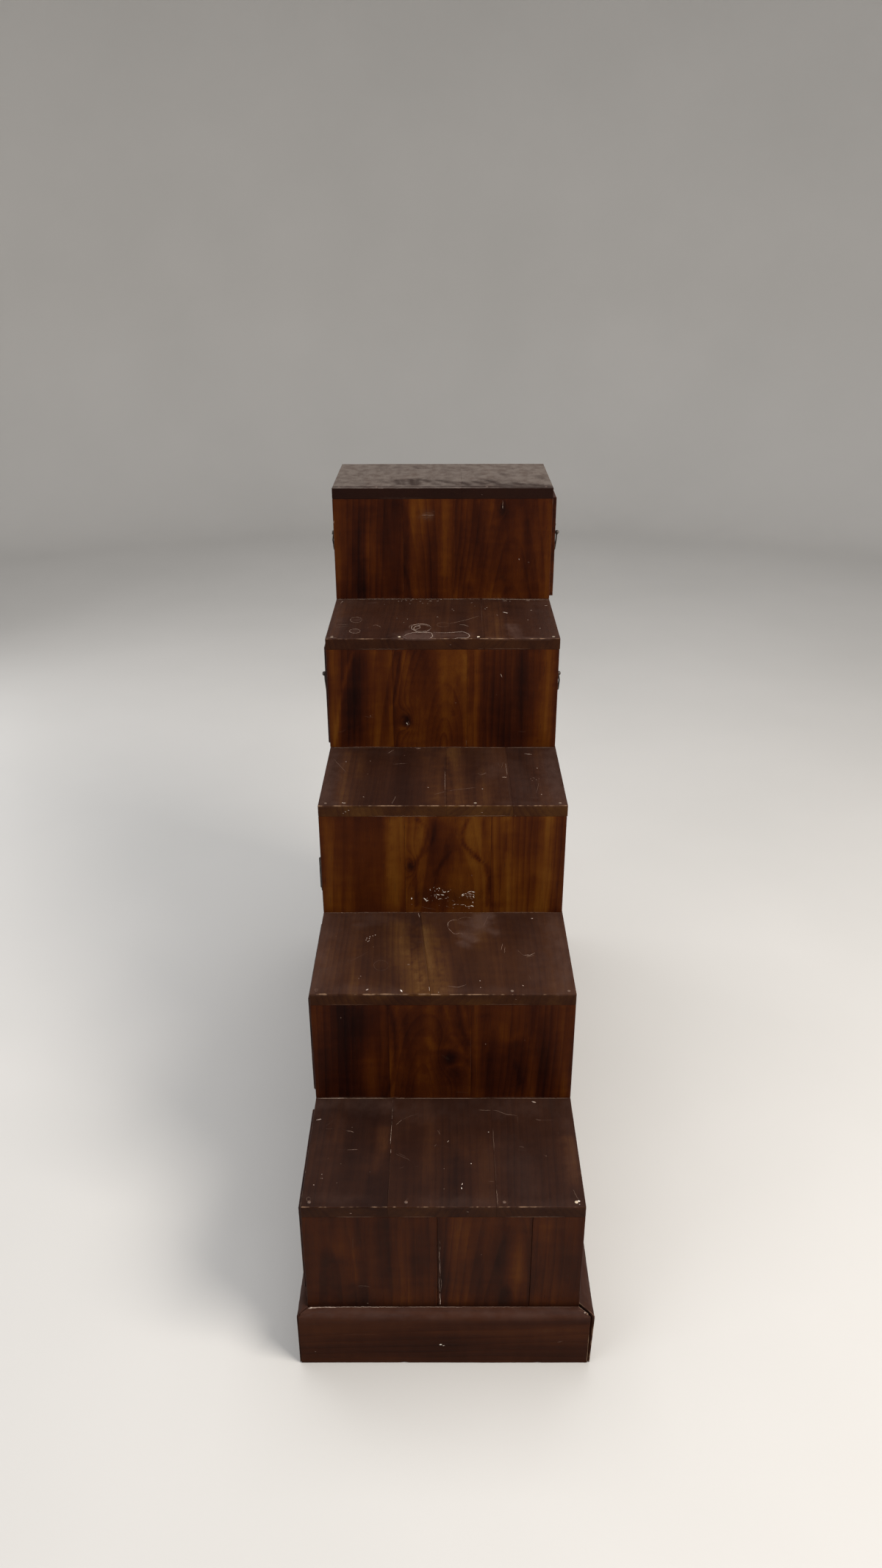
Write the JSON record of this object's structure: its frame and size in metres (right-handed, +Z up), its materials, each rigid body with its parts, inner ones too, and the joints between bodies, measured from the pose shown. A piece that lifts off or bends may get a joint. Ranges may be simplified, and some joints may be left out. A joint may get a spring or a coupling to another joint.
{
  "type": "step chest",
  "caption": "Step chest: a stair-shaped hardwood cabinet on a moulded plinth, with pass-through drawers, a cupboard with hinged doors and a low cupboard with sliding doors.",
  "frame": {"origin": "on the floor, at the centre of the plinth's footprint", "axes": "+Z up; +Y from the low front step to the tall back; +X to the right as seen by someone about to climb the steps"},
  "size_m": [0.4404, 1.167, 1.111],
  "materials": {
    "tread_wood": "old rubbed lacquer over dark stain, worn pale on the edges",
    "riser_wood": "old rubbed lacquer over dark stain, worn pale on the edges",
    "plinth_wood": "old rubbed lacquer over dark stain, worn pale on the edges",
    "drawer_wood": "old rubbed lacquer over dark stain, worn pale on the edges",
    "door_wood": "old rubbed lacquer over dark stain, worn pale on the edges",
    "case_wood": "dark stained, low sheen",
    "peg": "cut flush, end grain worn pale",
    "iron": "forged, dark oxide worn to grey on the high spots"
  },
  "bodies": {
    "carcass": {"bottom_board": "case_wood", "cupboard_shelves": "case_wood", "dust_board_1": "case_wood", "dust_board_2": "case_wood", "dust_board_3": "case_wood", "hinge_fixed_leaves": "iron", "hinge_pins": "iron", "partition_1": "case_wood", "partition_2": "case_wood", "partition_3": "case_wood", "partition_4": "case_wood", "plinth_back": "plinth_wood", "plinth_corner_blocks": "plinth_wood", "plinth_front": "plinth_wood", "plinth_left": "plinth_wood", "plinth_right": "plinth_wood", "rear_panel": "case_wood", "riser_1": "riser_wood", "riser_2": "riser_wood", "riser_3": "riser_wood", "riser_4": "riser_wood", "riser_5": "riser_wood", "side_panel_lower": "door_wood", "side_panel_upper": "door_wood", "tread_1": "tread_wood", "tread_2": "tread_wood", "tread_3": "tread_wood", "tread_4": "tread_wood", "tread_5": "tread_wood", "tread_pegs": "peg"},
    "drawer_1": {"drawer_1": "drawer_wood", "drawer_1_posts": "iron"},
    "drawer_1_bail_right": {"drawer_1_bail_right": "iron"},
    "drawer_2": {"drawer_2": "drawer_wood", "drawer_2_posts": "iron"},
    "drawer_2_bail_right": {"drawer_2_bail_right": "iron"},
    "drawer_3": {"drawer_3": "drawer_wood", "drawer_3_posts": "iron"},
    "drawer_3_bail_left": {"drawer_3_bail_left": "iron"},
    "drawer_3_bail_right": {"drawer_3_bail_right": "iron"},
    "drawer_4": {"drawer_4": "drawer_wood", "drawer_4_posts": "iron"},
    "drawer_4_bail_left": {"drawer_4_bail_left": "iron"},
    "drawer_4_bail_right": {"drawer_4_bail_right": "iron"},
    "drawer_5": {"drawer_5": "drawer_wood", "drawer_5_posts": "iron"},
    "drawer_5_bail_left": {"drawer_5_bail_left": "iron"},
    "drawer_5_bail_right": {"drawer_5_bail_right": "iron"},
    "door_front": {"door_front_frame": "door_wood", "door_front_panel": "door_wood", "door_front_iron": "iron"},
    "door_front_ring": {"door_front_ring": "iron"},
    "door_rear": {"door_rear_frame": "door_wood", "door_rear_panel": "door_wood", "door_rear_iron": "iron"},
    "door_rear_ring": {"door_rear_ring": "iron"},
    "sliding_door_front": {"sliding_door_front": "door_wood"},
    "sliding_door_rear": {"sliding_door_rear": "door_wood"}
  },
  "joints": [
    {"name": "drawer_1_slide", "type": "slide", "parent": "carcass", "child": "drawer_1", "axis": [1, 0, 0], "range_m": [-0.28, 0.28]},
    {"name": "drawer_1_bail_right_swing", "type": "hinge", "parent": "drawer_1", "child": "drawer_1_bail_right", "pos_m": [0.2076, -0.449, 0.214], "axis": [0, -1, 0], "range_deg": [0, 150]},
    {"name": "drawer_2_slide", "type": "slide", "parent": "carcass", "child": "drawer_2", "axis": [1, 0, 0], "range_m": [-0.28, 0.28]},
    {"name": "drawer_2_bail_right_swing", "type": "hinge", "parent": "drawer_2", "child": "drawer_2_bail_right", "pos_m": [0.2086, -0.2255, 0.4055], "axis": [0, -1, 0], "range_deg": [0, 150]},
    {"name": "drawer_3_slide", "type": "slide", "parent": "carcass", "child": "drawer_3", "axis": [1, 0, 0], "range_m": [-0.28, 0.28]},
    {"name": "drawer_3_bail_left_swing", "type": "hinge", "parent": "drawer_3", "child": "drawer_3_bail_left", "pos_m": [-0.2142, 0.2295, 0.808], "axis": [0, 1, 0], "range_deg": [0, 150]},
    {"name": "drawer_3_bail_right_swing", "type": "hinge", "parent": "drawer_3", "child": "drawer_3_bail_right", "pos_m": [0.209, 0.2295, 0.808], "axis": [0, -1, 0], "range_deg": [0, 150]},
    {"name": "drawer_4_slide", "type": "slide", "parent": "carcass", "child": "drawer_4", "axis": [1, 0, 0], "range_m": [-0.28, 0.28]},
    {"name": "drawer_4_bail_left_swing", "type": "hinge", "parent": "drawer_4", "child": "drawer_4_bail_left", "pos_m": [-0.2106, 0.453, 0.807], "axis": [0, 1, 0], "range_deg": [0, 150]},
    {"name": "drawer_4_bail_right_swing", "type": "hinge", "parent": "drawer_4", "child": "drawer_4_bail_right", "pos_m": [0.2126, 0.453, 0.807], "axis": [0, -1, 0], "range_deg": [0, 150]},
    {"name": "drawer_5_slide", "type": "slide", "parent": "carcass", "child": "drawer_5", "axis": [1, 0, 0], "range_m": [-0.28, 0.28]},
    {"name": "drawer_5_bail_left_swing", "type": "hinge", "parent": "drawer_5", "child": "drawer_5_bail_left", "pos_m": [-0.2082, 0.453, 1.01], "axis": [0, 1, 0], "range_deg": [0, 150]},
    {"name": "drawer_5_bail_right_swing", "type": "hinge", "parent": "drawer_5", "child": "drawer_5_bail_right", "pos_m": [0.2178, 0.453, 1.01], "axis": [0, -1, 0], "range_deg": [0, 150]},
    {"name": "door_front_hinge", "type": "hinge", "parent": "carcass", "child": "door_front", "pos_m": [-0.2026, -0.1029, 0.493], "axis": [0, 0, 1], "range_deg": [0, 110]},
    {"name": "door_front_ring_swing", "type": "hinge", "parent": "door_front", "child": "door_front_ring", "pos_m": [-0.206, 0.2035, 0.512], "axis": [0, 1, 0], "range_deg": [0, 95]},
    {"name": "door_rear_hinge", "type": "hinge", "parent": "carcass", "child": "door_rear", "pos_m": [-0.2026, 0.5519, 0.493], "axis": [0, 0, -1], "range_deg": [0, 110]},
    {"name": "door_rear_ring_swing", "type": "hinge", "parent": "door_rear", "child": "door_rear_ring", "pos_m": [-0.206, 0.2455, 0.512], "axis": [0, 1, 0], "range_deg": [0, 95]},
    {"name": "sliding_door_front_slide", "type": "slide", "parent": "carcass", "child": "sliding_door_front", "axis": [0, 1, 0], "range_m": [0, 0.425]},
    {"name": "sliding_door_rear_slide", "type": "slide", "parent": "carcass", "child": "sliding_door_rear", "axis": [0, -1, 0], "range_m": [0, 0.425]}
  ]
}
